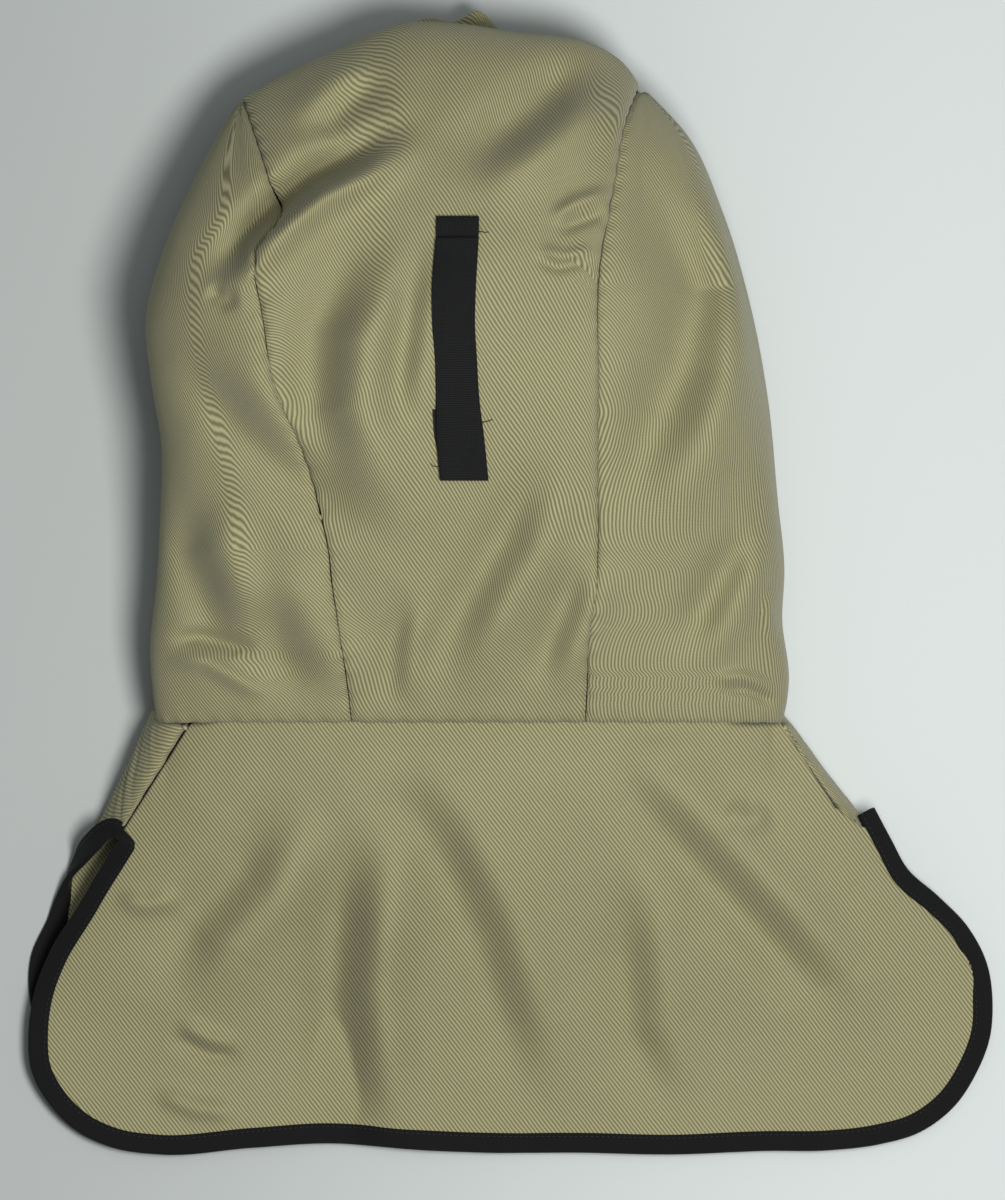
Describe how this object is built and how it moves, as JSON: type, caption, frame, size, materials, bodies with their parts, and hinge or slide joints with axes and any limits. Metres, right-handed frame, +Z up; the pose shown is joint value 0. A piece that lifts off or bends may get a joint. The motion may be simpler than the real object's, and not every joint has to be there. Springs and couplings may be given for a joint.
{
  "type": "beekeeping hood with shoulder bibs",
  "caption": "Twill protective hood lying on its face, with a netting face veil, bound shoulder bibs front and back, and a hook-and-loop back strap.",
  "frame": {"origin": "middle of the box's lowest face, on the surface that the hood lies on", "axes": "+Y from the bibs' hem to the crown, +Z up through the back of the hood, +X across it"},
  "size_m": [0.5504, 0.6532, 0.1868],
  "materials": {
    "twill": "khaki cotton twill with a steep diagonal wale",
    "black_tape": "black woven binding tape, folded over the edge and stitched",
    "webbing": "black ribbed webbing",
    "hook_and_loop": "black hook and loop tape",
    "netting": "black knotted netting",
    "spring_steel": "flat spring steel",
    "label": "blank woven label"
  },
  "bodies": {
    "root": {"back_panel": "twill", "left_side_panel": "twill", "right_side_panel": "twill", "brow_panel": "twill", "chin_panel": "twill", "veil_casing": "black_tape", "face_hoop": "spring_steel", "face_veil": "netting", "crown_stay": "spring_steel", "crown_stay_tape": "black_tape", "neck_tape": "black_tape", "care_label": "label", "back_yoke": "twill", "left_yoke_binding": "black_tape", "right_yoke_binding": "black_tape", "front_bib": "twill", "front_binding": "black_tape", "left_gusset": "twill", "right_gusset": "twill", "left_notch_binding": "black_tape", "right_notch_binding": "black_tape", "loop_patch": "hook_and_loop", "strap_hem": "webbing"},
    "back_flap": {"back_bib": "twill", "back_binding": "black_tape"},
    "strap": {"back_strap": "webbing", "hook_tab": "hook_and_loop"}
  },
  "joints": [
    {"name": "back_bib_lift", "type": "hinge", "parent": "root", "child": "back_flap", "pos_m": [0, -0.16565, 0.0677], "axis": [-1, 0, 0], "range_deg": [0, 95]},
    {"name": "strap_peel", "type": "hinge", "parent": "root", "child": "strap", "pos_m": [-0.028, 0.195, 0.1783], "axis": [-1, 0, 0], "range_deg": [0, 150]}
  ]
}
